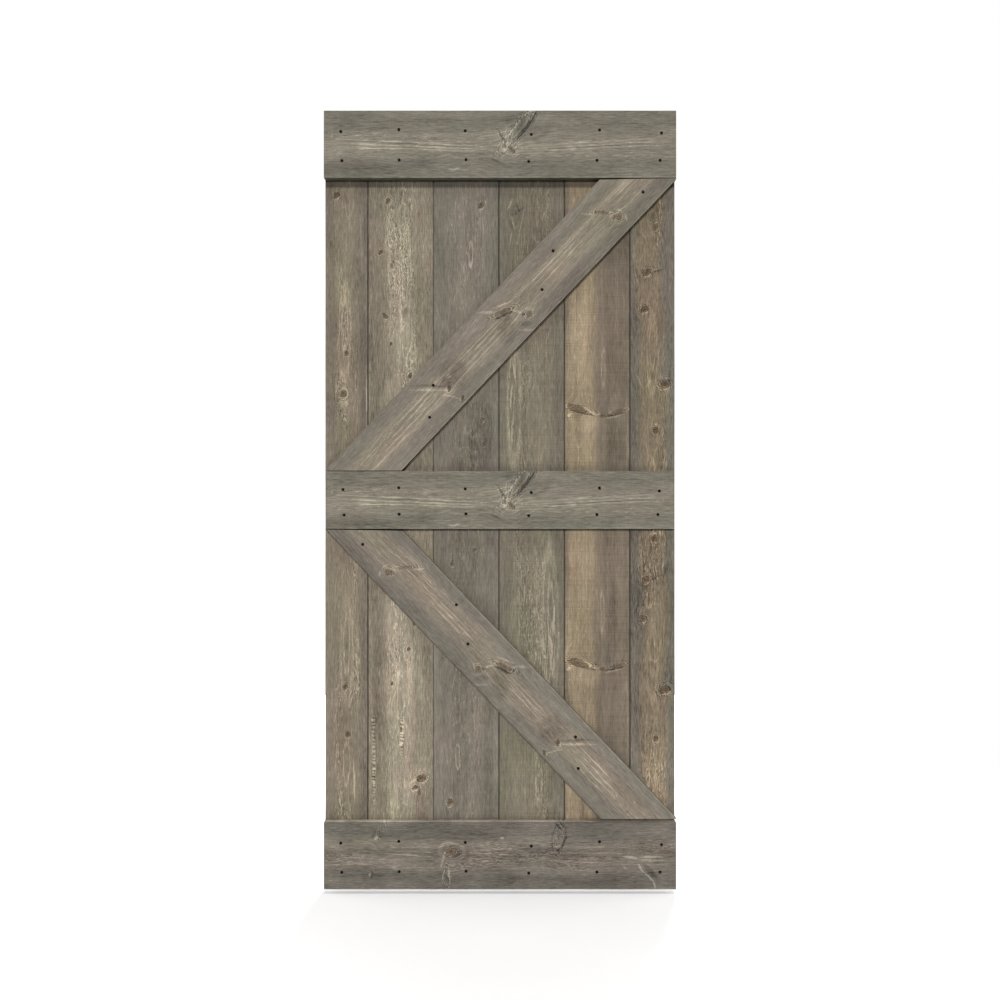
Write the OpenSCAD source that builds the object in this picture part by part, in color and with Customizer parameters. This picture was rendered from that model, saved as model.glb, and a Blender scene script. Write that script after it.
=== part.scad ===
// Sliding barn door slab with a K frame.
//
// Vertical tongue-and-groove planks are held by three rails and two braces, which
// lie on their front. Countersunk wood screws go through the rails and braces into
// the planks and stop short of the back. The door hangs from straps on its top rail.
//
// Millimetres. +X is to the right seen from the front, -Y is the front and +Z is up.
// The origin is the bottom centre of the door.

/* [Door] */
// Width of the door
door_w = 965; // [700:5:1220]
// Height of the door
door_h = 2134; // [1500:2:2600]

/* [Planks] */
// Thickness of the planks
plank_t = 17.5; // [14:0.5:25]
// Width of face that one full plank covers
plank_cover = 181; // [130:1:235]
// Narrowest strip that a side plank may be sawn down to
side_plank_min = 60; // [50:1:65]
// How far left of centre the joints between the planks lie
layout_shift = 3; // [0:1:15]
// Open joint between the faces of two planks
plank_gap = 1; // [0.5:0.1:2]
// Reach of the tongue past its plank's edge
tongue_l = 7; // [5:0.5:10]
// Thickness of the tongue
tongue_t = 6; // [4:0.5:7]
// Room on each side of the tongue in its groove
tongue_side_room = 0.2; // [0.1:0.05:0.5]
// Room between the tongue's tip and the bottom of its groove
tongue_tip_room = 1; // [0.5:0.1:2]

/* [Rails and braces] */
// Thickness of the rails and braces
rail_t = 17.5; // [14:0.5:25]
// Width of the top and bottom rails
wide_rail_w = 184; // [140:1:240]
// Width of the middle rail
middle_rail_w = 158; // [120:1:240]
// Distance of the middle rail's ends from the sides of the door
middle_rail_inset = 6; // [0:0.5:10]
// Width of the two braces
brace_w = 152; // [120:1:190]
// Joint between a brace's sawn ends and the rails
brace_gap = 1.5; // [0.5:0.1:3]
// How much further that joint opens at the brace's inner top corner
brace_cut_slack = 4; // [0:0.5:6]
// Gap left between the foot of the lower brace and the bottom rail
foot_gap = 9; // [0.5:0.5:15]
// Height of the flat that blunts each pointed tip of a brace
brace_tip_flat = 3; // [1:0.5:12]
// Distance of the braces' left tips from the side of the door
brace_tip_inset = 6; // [0:0.5:20]
// Chamfer along the long edges of every board
edge_ease = 1; // [0.5:0.1:2]

/* [Screws] */
// Radius of the screw heads
head_r = 4; // [3.4:0.1:5]
// Thickness of the head's rim above its cone
head_rim = 0.4; // [0.2:0.1:0.8]
// Radius of the smooth shank
shank_r = 2.1; // [1.8:0.1:2.5]
// Length from the top of the head to the end of the smooth shank
shank_l = 11; // [8:0.5:12]
// Radius of the core under the thread
core_r = 1.45; // [1.1:0.05:1.7]
// Length of the screw's point
point_l = 4; // [2:0.5:6]
// Wood left behind the screw's point
point_cover = 1.7; // [1:0.1:4]
// Depth of the head's top below the face of the rail
head_sink = 1.3; // [0.5:0.1:2]
// Room round the head's rim in its counterbore
head_room = 0.2; // [0.1:0.05:0.5]
// Room round the shank in its hole
shank_room = 0.2; // [0.1:0.05:0.4]
// Span of the cross recess at the top of the head
recess_span = 4.6; // [4:0.1:5]
// Width of each slot of the cross recess
recess_slot = 1; // [0.8:0.1:1.2]
// Depth of the cross recess
recess_d = 2; // [1.5:0.1:2.4]

/* [Screw places] */
// Distance of a wide rail's upper row of screws from its upper edge
wide_upper_row = 57.5; // [30:0.5:65]
// Distance of a wide rail's lower row of screws from its lower edge
wide_lower_row = 47.5; // [30:0.5:65]
// Distance of the middle rail's upper row of screws from its upper edge
middle_upper_row = 50.5; // [30:0.5:55]
// Distance of the middle rail's lower row of screws from its lower edge
middle_lower_row = 39; // [30:0.5:55]
// Distance of the outermost screws from the ends of the rails
side_screw_inset = 41; // [25:1:45]

/* [Hidden] */
$fn = 48;

// Depths, from the front to the back
rail_front = -(rail_t + plank_t) / 2;
plank_front = rail_front + rail_t;

// The full planks that fit between the two side planks, which are sawn down alike
full_planks = floor((door_w - 2 * side_plank_min) / plank_cover);
side_w = (door_w - full_planks * plank_cover) / 2;
plank_count = full_planks + 2;
// Where each plank's cover starts along X, and where the last one ends
joints = concat(
    [-door_w / 2],
    [for (i = [0:full_planks]) -door_w / 2 + side_w - layout_shift + i * plank_cover],
    [door_w / 2]
);
groove_d = tongue_l + tongue_tip_room - plank_gap;
groove_t = tongue_t + 2 * tongue_side_room;

middle_rail_l = door_w - 2 * middle_rail_inset;

// Heights of the rails' middles
top_rail_z = door_h - wide_rail_w / 2;
middle_rail_z = door_h / 2;
bottom_rail_z = wide_rail_w / 2;

// Lowest and highest point of each brace, and what they cover along X
upper_span = [(door_h + middle_rail_w) / 2 + brace_gap, door_h - wide_rail_w - brace_gap];
lower_span = [wide_rail_w + foot_gap, (door_h - middle_rail_w) / 2 - brace_gap];
brace_reach = door_w - brace_tip_inset;
brace_x = brace_tip_inset / 2;

// The screw, and the hole that its point is driven into
screw_l = rail_t - head_sink + plank_t - point_cover;
pilot_end = screw_l + head_sink + 0.4;

// Small errors of the drilling template, [right, up] for each plank from left to right
upper_row_drift = [[5, 0], [-3, 5], [-2, 2], [-2, -8], [4, 4], [1, -4]];
lower_row_drift = [[8, -1], [-2, 1], [0, 2], [-9, -3], [-3, 0], [-3, 0]];
// Screws of each brace: [share of its length from its top end, distance below its middle
// line]
upper_brace_screws = [[0.018, 34], [0.278, -35], [0.367, 16], [0.726, -21], [0.79, 32]];
lower_brace_screws = [[0.026, 30], [0.297, -42], [0.388, 9], [0.742, -29], [0.804, 25]];

// Slope of a brace whose edges run through its two blunt tips, and its length
function brace_rise(span) = span[1] - span[0] - 2 * brace_tip_flat;
function brace_angle(span) =
    atan2(brace_rise(span), brace_reach)
    + asin(brace_w / norm([brace_reach, brace_rise(span)]));
function brace_length(span) = (span[1] - span[0]) / sin(brace_angle(span));

function plank_screw_x(i, rail_l) =
    i == 0 ? -rail_l / 2 + side_screw_inset :
    i == plank_count - 1 ? rail_l / 2 - side_screw_inset :
    (joints[i] + joints[i + 1]) / 2;

// One screw for each plank along a row at height z
function screw_row(rail_l, z, drift) = [
    for (i = [0:plank_count - 1])
        let (d = drift[i % len(drift)])
        [plank_screw_x(i, rail_l) + d.x, z + d.y]
];

function rail_screws(rail_l, z, w, upper_row, lower_row) = concat(
    screw_row(rail_l, z + w / 2 - upper_row, upper_row_drift),
    screw_row(rail_l, z - w / 2 + lower_row, lower_row_drift)
);

// Screws of the brace that rises to the side given by hand (1 is right, -1 is left)
function brace_screw_places(span, hand, screws) = [
    for (s = screws)
        let (
            along = (0.5 - s[0]) * brace_length(span),
            c = cos(brace_angle(span)),
            n = sin(brace_angle(span))
        )
        [brace_x + hand * (along * c + s[1] * n),
         (span[0] + span[1]) / 2 + along * n - s[1] * c]
];

top_places = rail_screws(door_w, top_rail_z, wide_rail_w, wide_upper_row, wide_lower_row);
middle_places = rail_screws(
    middle_rail_l, middle_rail_z, middle_rail_w, middle_upper_row, middle_lower_row);
bottom_places = rail_screws(
    door_w, bottom_rail_z, wide_rail_w, wide_upper_row, wide_lower_row);
upper_places = brace_screw_places(upper_span, 1, upper_brace_screws);
lower_places = brace_screw_places(lower_span, -1, lower_brace_screws);
all_places = concat(top_places, middle_places, bottom_places, upper_places, lower_places);

plank_names = [for (i = [1:plank_count]) str("plank_", i)];

// Puts what is drawn along +Z at each place on the front, with +Z going into the door
module drive_in(places) {
    for (p = places)
        translate([p.x, rail_front, p.y])
            rotate([-90, 0, 0])
                children();
}

// Section of a plank seen from above, with its tongue to the right and its groove to
// the left. The front face is at y = 0.
module plank_section(left, right, groove, tongue) {
    x0 = groove ? left + plank_gap / 2 : left;
    x1 = tongue ? right - plank_gap / 2 : right;
    t0 = (plank_t - tongue_t) / 2;
    g0 = (plank_t - groove_t) / 2;
    groove_edge = groove ? [
        [x0, plank_t - g0], [x0 + groove_d, plank_t - g0], [x0 + groove_d, g0], [x0, g0]
    ] : [];
    tongue_edge = tongue ? [
        [x1, t0], [x1 + tongue_l - edge_ease, t0], [x1 + tongue_l, t0 + edge_ease],
        [x1 + tongue_l, plank_t - t0 - edge_ease], [x1 + tongue_l - edge_ease, plank_t - t0],
        [x1, plank_t - t0]
    ] : [];
    polygon(concat(
        [[x0, edge_ease], [x0 + edge_ease, 0], [x1 - edge_ease, 0], [x1, edge_ease]],
        tongue_edge,
        [[x1, plank_t - edge_ease], [x1 - edge_ease, plank_t],
         [x0 + edge_ease, plank_t], [x0, plank_t - edge_ease]],
        groove_edge
    ));
}

// Pilot hole that the thread bites into, from the front of the rail inwards
module pilot_hole() {
    translate([0, 0, rail_t - 1])
        cylinder(r = core_r, h = pilot_end - rail_t + 1);
}

module plank(i) {
    left = joints[i];
    right = joints[i + 1];
    tongue = i < plank_count - 1;
    reach = tongue ? tongue_l + core_r : core_r;
    color([0.52, 0.49, 0.43])
        difference() {
            translate([0, plank_front, 0])
                linear_extrude(door_h)
                    plank_section(left, right, i > 0, tongue);
            drive_in([for (p = all_places) if (p.x > left - core_r && p.x < right + reach) p])
                pilot_hole();
        }
}

// Board along X with its front at y = 0 and its middle line at z = 0
module board(l, w) {
    e = edge_ease;
    rotate([90, 0, 90])
        linear_extrude(l, center = true)
            polygon([
                [e, -w / 2], [rail_t - e, -w / 2], [rail_t, -w / 2 + e], [rail_t, w / 2 - e],
                [rail_t - e, w / 2], [e, w / 2], [0, w / 2 - e], [0, -w / 2 + e]
            ]);
}

// Hole through a rail or brace: counterbore, seat of the head's cone and shank hole
module screw_hole() {
    hole_r = shank_r + shank_room;
    seat = head_sink + head_rim;
    rotate_extrude()
        polygon([
            [0, -1], [head_r + head_room, -1], [head_r + head_room, seat], [head_r, seat],
            [hole_r, seat + head_r - hole_r], [hole_r, rail_t + 1], [0, rail_t + 1]
        ]);
}

module rail(l, z, w, places) {
    color([0.49, 0.47, 0.42])
        difference() {
            translate([0, rail_front, z])
                board(l, w);
            drive_in(places)
                screw_hole();
        }
}

// What a level saw cut at each end and an upright one through each tip leave of a
// brace. The top cut runs a little low towards the middle of the door.
module brace_cuts(span) {
    side = brace_reach / 2;
    end = (span[1] - span[0]) / 2;
    inner = side - brace_w / sin(brace_angle(span));
    rotate([90, 0, 0])
        translate([0, 0, -rail_t - 1])
            linear_extrude(rail_t + 2)
                polygon([
                    [-side, -end], [side, -end], [side, end],
                    [inner, end - brace_cut_slack], [-side, end - brace_cut_slack]
                ]);
}

module brace(span, hand, places) {
    color([0.55, 0.51, 0.45])
        difference() {
            translate([brace_x, rail_front, (span[0] + span[1]) / 2])
                mirror([hand > 0 ? 0 : 1, 0, 0])
                    intersection() {
                        rotate([0, -brace_angle(span), 0])
                            board(brace_length(span) + 2 * brace_w, brace_w);
                        brace_cuts(span);
                    }
            drive_in(places)
                screw_hole();
        }
}

// Cross recess, from the top of the head at z = 0 inwards
module drive_recess() {
    for (a = [0, 90])
        rotate([0, 0, a])
            rotate([90, 0, 0])
                linear_extrude(recess_slot, center = true)
                    polygon([
                        [-recess_span / 2, -0.1], [recess_span / 2, -0.1],
                        [recess_slot / 2, recess_d], [-recess_slot / 2, recess_d]
                    ]);
}

// Flat-head wood screw with its head's top at z = 0 and its point along +Z. Its lower
// length is the core that the thread winds round.
module screw() {
    cone_end = head_rim + head_r - shank_r;
    core_start = shank_l + shank_r - core_r;
    difference() {
        rotate_extrude()
            polygon([
                [0, 0], [head_r, 0], [head_r, head_rim], [shank_r, cone_end],
                [shank_r, shank_l], [core_r, core_start], [core_r, screw_l - point_l],
                [0.2, screw_l], [0, screw_l]
            ]);
        drive_recess();
    }
}

module screws(places) {
    color([0.12, 0.12, 0.12])
        drive_in(places)
            translate([0, 0, head_sink])
                screw();
}

for (i = [0:plank_count - 1])
    plank(i);
rail(door_w, top_rail_z, wide_rail_w, top_places);  // top_rail
rail(middle_rail_l, middle_rail_z, middle_rail_w, middle_places);  // middle_rail
rail(door_w, bottom_rail_z, wide_rail_w, bottom_places);  // bottom_rail
brace(upper_span, 1, upper_places);  // upper_brace
brace(lower_span, -1, lower_places);  // lower_brace
screws(top_places);  // top_rail_screws
screws(middle_places);  // middle_rail_screws
screws(bottom_places);  // bottom_rail_screws
screws(upper_places);  // upper_brace_screws
screws(lower_places);  // lower_brace_screws
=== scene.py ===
# %% [markdown]
# # A plank door with a K frame
# This lesson dresses the bare, measured model of a sliding barn door: six upright
# tongue-and-groove planks, three rails, two sloping braces and the screws that hold them.
# The measured model gives every size and place. Blender then makes each board again with
# rounded edges and real holes, makes screws with a thread, and gives the pine its stain.

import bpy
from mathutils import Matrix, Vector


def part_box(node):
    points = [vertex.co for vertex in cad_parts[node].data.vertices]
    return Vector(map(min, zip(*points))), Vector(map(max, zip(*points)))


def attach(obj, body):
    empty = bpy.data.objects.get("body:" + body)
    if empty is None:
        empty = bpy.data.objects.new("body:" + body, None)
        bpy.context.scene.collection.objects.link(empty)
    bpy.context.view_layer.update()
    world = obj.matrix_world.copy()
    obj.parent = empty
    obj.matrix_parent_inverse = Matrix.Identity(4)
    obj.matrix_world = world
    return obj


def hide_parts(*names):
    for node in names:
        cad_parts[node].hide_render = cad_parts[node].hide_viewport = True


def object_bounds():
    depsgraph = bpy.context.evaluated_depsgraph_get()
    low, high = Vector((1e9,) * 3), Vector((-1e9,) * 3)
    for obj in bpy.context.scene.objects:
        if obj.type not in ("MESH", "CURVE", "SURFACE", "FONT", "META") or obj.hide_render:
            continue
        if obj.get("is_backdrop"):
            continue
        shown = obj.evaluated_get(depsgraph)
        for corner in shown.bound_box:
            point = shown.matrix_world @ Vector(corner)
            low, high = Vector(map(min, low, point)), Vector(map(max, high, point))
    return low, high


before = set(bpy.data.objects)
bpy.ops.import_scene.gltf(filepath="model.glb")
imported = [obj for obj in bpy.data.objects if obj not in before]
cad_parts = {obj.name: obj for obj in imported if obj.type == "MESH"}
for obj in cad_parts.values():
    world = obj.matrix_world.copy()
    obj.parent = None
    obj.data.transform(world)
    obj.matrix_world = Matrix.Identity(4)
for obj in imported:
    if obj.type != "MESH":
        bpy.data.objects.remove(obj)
cad_low, cad_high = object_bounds()
print("measured door, metres:", [round(v, 4) for v in cad_high - cad_low])

# %% The rest of the tools
import math

import bpy
from mathutils import Vector

# %% [markdown]
# ## Working in edit mode from a script
# By hand you click an object, press Tab and click its faces. A script does the same in
# three steps: make one object active, say which faces or edges are wanted by their
# place, and open edit mode. The next helpers do that, so that each later cell can read
# like a list of moves: select, extrude, bevel.


# %% Selecting
def pick(obj):
    """Selects obj alone."""
    bpy.ops.object.select_all(action="DESELECT")
    bpy.context.view_layer.objects.active = obj
    obj.select_set(True)


def edit(obj, kind="FACE", wanted=lambda *place: True):
    """Opens obj in edit mode with the faces or edges selected that are wanted, or all."""
    pick(obj)
    mesh = obj.data
    bpy.ops.object.mode_set(mode="EDIT")
    bpy.ops.mesh.select_mode(type=kind)
    bpy.ops.mesh.select_all(action="DESELECT")
    bpy.ops.object.mode_set(mode="OBJECT")
    if kind == "FACE":
        for face in mesh.polygons:
            face.select = wanted(face.center, face.normal)
    else:
        for edge in mesh.edges:
            a, b = (mesh.vertices[i].co for i in edge.vertices)
            edge.select = wanted(a, b)
    bpy.ops.object.mode_set(mode="EDIT")


def extrude(x, y, z):
    """Extrudes the selected faces by this much."""
    bpy.ops.mesh.extrude_region_move(TRANSFORM_OT_translate={"value": (x, y, z)})


def done():
    """Closes edit mode."""
    bpy.ops.object.mode_set(mode="OBJECT")


def done_facing_out():
    """Turns all faces outwards and closes edit mode."""
    bpy.ops.mesh.select_all(action="SELECT")
    bpy.ops.mesh.normals_make_consistent(inside=False)
    done()


def settle(obj):
    """Puts obj's place, turn and size into its mesh, so that the object is at the origin."""
    pick(obj)
    bpy.ops.object.transform_apply(location=True, rotation=True, scale=True)


def finish_with(obj, kind, **settings):
    """Adds a modifier to obj and applies it at once."""
    pick(obj)
    modifier = obj.modifiers.new(kind.lower(), kind)
    for key, value in settings.items():
        setattr(modifier, key, value)
    bpy.ops.object.modifier_apply(modifier=modifier.name)


# %% [markdown]
# ## A board, from the blank to the planed piece
# Each board is planed pine with long edges that were eased with a plane or sandpaper. It
# could be one box with a bevel modifier, but then it would be dead straight. A real
# board moves a little as it dries. So the blank is a cube at the board's size, its long
# edges are bevelled in edit mode, its faces are cut into a net of small quads, and a
# Displace modifier with a cloudy texture moves them in and out by a third of a
# millimetre. That is enough for light to run unevenly along an edge.

# %% Board helpers
EASE = 0.0012  # radius of a board's long edges
NET_ACROSS = 8  # quads across a board


def blank(name, low, high):
    """A cube stretched to fill the box from low to high."""
    bpy.ops.mesh.primitive_cube_add(size=1, location=(low + high) / 2)
    obj = bpy.context.active_object
    obj.name = obj.data.name = name
    obj.scale = high - low
    settle(obj)
    return obj


def cut(obj, point, normal, drop=False):
    """Cuts all faces of obj along a plane. With drop, what lies beyond it goes."""
    edit(obj)
    bpy.ops.mesh.bisect(plane_co=point, plane_no=normal, use_fill=drop, clear_outer=drop)
    done()


def along(a, b, axis):
    """Whether the edge from a to b runs along the axis x, y or z (0, 1 or 2)."""
    run = b - a
    return abs(run[axis]) > 0.999 * run.length


def ease(board, wanted):
    """Rounds the wanted edges of a board."""
    edit(board, "EDGE", wanted)
    bpy.ops.mesh.bevel(offset=EASE, segments=3)
    done()


def net(obj, axis, pieces):
    """Divides the long edges along an axis, which cuts the faces between them."""
    edit(obj, "EDGE", lambda a, b: along(a, b, axis) and (b - a).length > 0.05)
    bpy.ops.mesh.subdivide(number_cuts=pieces - 1)
    done()


# %% The wobble of dried wood
WOBBLE = 0.0007
drying = bpy.data.textures.new("drying_wobble", "CLOUDS")
drying.noise_scale = 0.16
drying.noise_depth = 1


def let_dry(obj):
    """Moves a board's surface in and out a little, differently all over the door."""
    finish_with(obj, "DISPLACE", texture=drying, texture_coords="LOCAL",
                strength=WOBBLE, mid_level=0.5)


# %% [markdown]
# ## Six planks with tongue and groove
# A plank's right edge carries a tongue that slides into the groove of the next one, so
# the joint stays closed when the wood shrinks. The two outer planks are sawn flat on
# their outside. By hand: cut the blank lengthwise at the tongue's two sides and at the
# groove's, which leaves a narrow strip on each edge; extrude the right strip outwards and
# the left strip inwards. Then bevel the four long corners, because that small V is what
# shows as a line between two planks.

# %% Plank sizes
TONGUE_REACH = 0.007
TONGUE_THICK = 0.006
GROOVE_THICK = 0.0064
GROOVE_DEEP = 0.007
PLANK_NET = 90  # quads along a plank
HAIR = 1e-5  # places closer than this are the same


def near(a, b):
    """Whether two places along an axis are the same."""
    return abs(a - b) < HAIR


def extrude_strip(board, side, middle, thick, by):
    """Extrudes the middle strip of a plank's right (side 1) or left (-1) edge along X."""
    edit(board, "FACE", lambda centre, facing: facing.x * side > 0.9
         and abs(centre.y - middle) < thick / 2)
    extrude(by, 0, 0)
    done()


def plank(node, groove, tongue):
    """The plank of a CAD node, with a groove on its left and a tongue on its right."""
    low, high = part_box(node)
    if tongue:
        high.x -= TONGUE_REACH
    board = blank(node + "_board", low, high)
    middle = (low.y + high.y) / 2
    for thick in (TONGUE_THICK, GROOVE_THICK):
        for side in (-1, 1):
            cut(board, (0, middle + side * thick / 2, 0), (0, 1, 0))
    if tongue:
        extrude_strip(board, 1, middle, TONGUE_THICK, TONGUE_REACH)
    if groove:
        extrude_strip(board, -1, middle, GROOVE_THICK, GROOVE_DEEP)
    ease(board, lambda a, b: along(a, b, 2)
         and (near(a.x, low.x) or near(a.x, high.x))
         and (near(a.y, low.y) or near(a.y, high.y)))
    net(board, 0, NET_ACROSS)
    net(board, 2, PLANK_NET)
    let_dry(board)
    return board


# %% Make the planks
plank_nodes = sorted(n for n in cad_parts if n.startswith("plank_"))
boards = {node: plank(node, node != plank_nodes[0], node != plank_nodes[-1])
          for node in plank_nodes}
print("planks:", {n: len(b.data.polygons) for n, b in boards.items()})

# %% [markdown]
# ## Rails and braces
# A rail is a plain board across the planks. A brace is the same board on a slope, sawn
# level at both ends where it meets a rail, and upright through each sharp tip so that
# the tip can't catch. By hand: rotate the blank, then bisect it with one plane for each
# saw cut and throw away the outside. The top cut of each brace runs a few millimetres
# low at its inner corner, so the joint there opens like a thin wedge.

# %% Rails
RAIL_NODES = ("top_rail", "middle_rail", "bottom_rail")
RAIL_NET = 44  # quads along a rail


def lying_board(node, low, high, pieces):
    """A board along X with rounded edges and a net of quads, before it dries."""
    board = blank(node + "_board", low, high)
    ease(board, lambda a, b: along(a, b, 0))
    net(board, 2, NET_ACROSS)
    net(board, 0, pieces)
    return board


for node in RAIL_NODES:
    boards[node] = lying_board(node, *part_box(node), RAIL_NET)
    let_dry(boards[node])
print("rails:", [boards[n].name for n in RAIL_NODES])

# %% Braces
BRACE_RISE = {"upper_brace": 1, "lower_brace": -1}  # rises to the right or to the left
BRACE_WIDTH = 0.152
BRACE_NET = 54  # quads along a brace, before its ends are sawn
TIP_FLAT = 0.003
CUT_SLACK = 0.004


def brace_slope(node):
    """The slope of a brace whose edges run through its two blunt tips."""
    low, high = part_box(node)
    reach, rise = high.x - low.x, high.z - low.z - 2 * TIP_FLAT
    return math.atan2(rise, reach) + math.asin(BRACE_WIDTH / math.hypot(reach, rise))


def brace(node, hand):
    """The brace of a CAD node that rises to the right (hand 1) or to the left (-1)."""
    low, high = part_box(node)
    slope = brace_slope(node)
    half = Vector(((high.z - low.z) / math.sin(slope) / 2 + BRACE_WIDTH,
                   (high.y - low.y) / 2, BRACE_WIDTH / 2))
    board = lying_board(node, -half, half, BRACE_NET)
    board.rotation_euler = (0, -slope * hand, 0)
    board.location = (low + high) / 2
    settle(board)
    tip = high.x if hand > 0 else low.x
    inner = tip - hand * BRACE_WIDTH / math.sin(slope)
    fall = CUT_SLACK / (tip - inner)
    cut(board, (0, 0, low.z), (0, 0, -1), drop=True)
    cut(board, (low.x, 0, 0), (-1, 0, 0), drop=True)
    cut(board, (high.x, 0, 0), (1, 0, 0), drop=True)
    cut(board, (tip, 0, high.z), (-fall, 0, 1), drop=True)
    let_dry(board)
    return board


for node, hand in BRACE_RISE.items():
    boards[node] = brace(node, hand)
print("slopes:", [round(math.degrees(brace_slope(n)), 2) for n in BRACE_RISE])

# %% [markdown]
# ## Where the screws go
# The measured model already has every screw in its place. Its points all end in one
# plane, so the corners that lie deepest in the door mark the screws' axes. Reading them
# from there means that holes and screws can't drift apart from the measured ones.

# %% Read the screws' places
SCREW_NODES = {board: board + "_screws" for board in (*RAIL_NODES, *BRACE_RISE)}
POINT_SPAN = 0.001  # deepest corners closer than this belong to one screw


def screw_places(node):
    """The (x, z) of each screw of a CAD node."""
    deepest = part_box(node)[1].y
    places = []
    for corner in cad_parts[node].data.vertices:
        if corner.co.y > deepest - HAIR:
            x, z = corner.co.x, corner.co.z
            if all(math.hypot(x - px, z - pz) > POINT_SPAN for px, pz in places):
                places.append((x, z))
    return places


places = {board: screw_places(node) for board, node in SCREW_NODES.items()}
print("screws:", {board: len(found) for board, found in places.items()})

# %% [markdown]
# ## Turned shapes
# Screws and the holes that they sit in are round. The quick way to turn such a shape is
# to start with a filled circle and extrude it step by step, scaling each new ring to its
# radius. The same helper makes the screw's body and the drill that cuts its hole.

# %% A lathe
ROUND = 28  # sides of a turned shape
SCREW_TURN = 0.9  # how far the driver's last turn differs from screw to screw, in radians


def turned(name, steps, sides=ROUND):
    """A closed round shape along +Z through the steps (depth, radius)."""
    depth, radius = steps[0]
    bpy.ops.mesh.primitive_circle_add(vertices=sides, radius=radius, fill_type="NGON",
                                      location=(0, 0, depth))
    obj = bpy.context.active_object
    obj.name = obj.data.name = name
    settle(obj)
    edit(obj)
    for next_depth, next_radius in steps[1:]:
        extrude(0, 0, next_depth - depth)
        share = next_radius / radius
        bpy.ops.transform.resize(value=(share, share, 1),
                                 center_override=(0, 0, next_depth))
        depth, radius = next_depth, next_radius
    done_facing_out()
    return obj


def copies_at(master, spots, depth, name):
    """Copies of a shape driven into the door at each (x, z), joined into one object."""
    made = []
    for number, (x, z) in enumerate(spots):
        twin = master.copy()
        twin.data = master.data.copy()
        bpy.context.scene.collection.objects.link(twin)
        twin.rotation_euler = (math.radians(-90), SCREW_TURN * number * number, 0)
        twin.location = (x, depth, z)
        made.append(twin)
    pick(made[0])
    for twin in made:
        twin.select_set(True)
    bpy.ops.object.join()
    joined = bpy.context.active_object
    joined.name = joined.data.name = name
    settle(joined)
    return joined


# %% [markdown]
# ## Drilling
# Each screw sits in a stepped hole: a counterbore that sinks the head just below the
# wood, a cone that the head seats on, and a clearance hole for the shank. In the plank
# behind it is only a narrow pilot hole for the thread. All the holes of one board are
# cut at once, with one Boolean modifier and one joined set of drills.

# %% Drill the boards
HEAD_SINK = 0.0013
SEAT = HEAD_SINK + 0.0004  # where the cone begins
HEAD_HOLE, CONE_TOP, SHANK_HOLE, PILOT_HOLE = 0.0046, 0.004, 0.0023, 0.00145  # radii
PILOT_DEEP = 0.0152
OVER = 0.003  # how far a drill stands out of the board
front = cad_low.y
rail_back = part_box("top_rail")[1].y
rail_drill = turned("rail_drill", [
    (-OVER, 0.0048), (0, 0.0047), (HEAD_SINK, HEAD_HOLE), (SEAT, HEAD_HOLE),
    (SEAT + HAIR, CONE_TOP), (SEAT + 0.0017, SHANK_HOLE),
    (rail_back - front + OVER, SHANK_HOLE)])
pilot_drill = turned("pilot_drill", [(-0.002, PILOT_HOLE), (PILOT_DEEP, PILOT_HOLE)],
                     ROUND // 2)


def drill(board, master, spots, depth):
    """Cuts a hole of the master's shape at each spot, then throws the drills away."""
    drills = copies_at(master, spots, depth, "drills")
    finish_with(board, "BOOLEAN", operation="DIFFERENCE", solver="EXACT", object=drills)
    bpy.data.objects.remove(drills)


for name, spots in places.items():
    drill(boards[name], rail_drill, spots, front)
for node in plank_nodes:
    low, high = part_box(node)
    inside = [(x, z) for spots in places.values() for x, z in spots
              if low.x - POINT_SPAN < x < high.x + POINT_SPAN]
    drill(boards[node], pilot_drill, inside, rail_back)
for master in (rail_drill, pilot_drill):
    bpy.data.objects.remove(master)
print("faces after drilling:", {n: len(b.data.polygons) for n, b in boards.items()})

# %% [markdown]
# ## One wood screw
# The real screws are black, with a flat head and a cross recess. A texture could fake
# the cross, but this piece is small and repeated, so real geometry costs little: the
# body is turned, the cross is cut with a tapered cutter, and the thread is a small
# triangle that the Screw modifier sweeps round the core.

# %% Turn the body
SCREW_LENGTH = 0.032
screw = turned("screw", [
    (0.0001, 0.0036), (0, 0.0038), (0.0001, 0.00395), (0.0004, 0.004), (0.0023, 0.0021),
    (0.011, 0.0021), (0.01165, 0.00145), (0.028, 0.00145), (0.0312, 0.0004),
    (SCREW_LENGTH, 0.0002)])

# %% Cut the cross recess
RECESS_SPAN, RECESS_SLOT, RECESS_DEEP = 0.0046, 0.001, 0.002
for turn in (0, 90):
    cutter = blank("cutter", Vector((-RECESS_SPAN / 2, -RECESS_SLOT / 2, -0.0005)),
                   Vector((RECESS_SPAN / 2, RECESS_SLOT / 2, RECESS_DEEP)))
    edit(cutter, "FACE", lambda centre, facing: facing.z > 0.9)
    bpy.ops.transform.resize(value=(RECESS_SLOT / RECESS_SPAN, 0.7, 1),
                             center_override=(0, 0, RECESS_DEEP))
    done()
    cutter.rotation_euler = (0, 0, math.radians(turn))
    settle(cutter)
    finish_with(screw, "BOOLEAN", operation="DIFFERENCE", solver="EXACT", object=cutter)
    bpy.data.objects.remove(cutter)

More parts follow.
